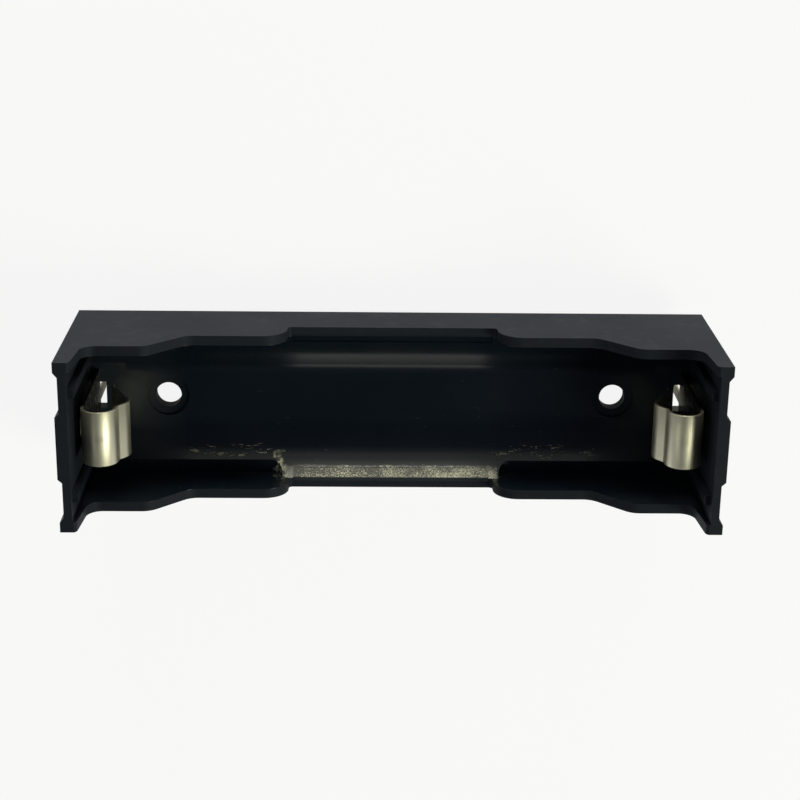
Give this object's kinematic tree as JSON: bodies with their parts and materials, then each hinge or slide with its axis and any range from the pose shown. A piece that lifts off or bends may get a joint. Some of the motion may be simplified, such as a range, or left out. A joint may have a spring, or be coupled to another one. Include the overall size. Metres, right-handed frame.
{
  "type": "cylindrical cell holder",
  "caption": "Deep open-topped holder for a cylindrical cell, with stepped side walls, folded leaf contacts, solder pins and screw holes.",
  "frame": {"origin": "centre of the line between the two fixing holes, on the board plane that the underside of the housing stands on", "axes": "+X along the cell, from the left contact to the right contact; +Y across it; +Z off the board, the way the cell lifts out"},
  "size_m": [0.0776, 0.0208, 0.0247],
  "materials": {
    "black_plastic": "semi-gloss moulded black",
    "nickel_plate": "satin nickel plate"
  },
  "bodies": {
    "root": {"housing": "black_plastic", "left_contact": "nickel_plate", "right_contact": "nickel_plate"}
  },
  "joints": []
}
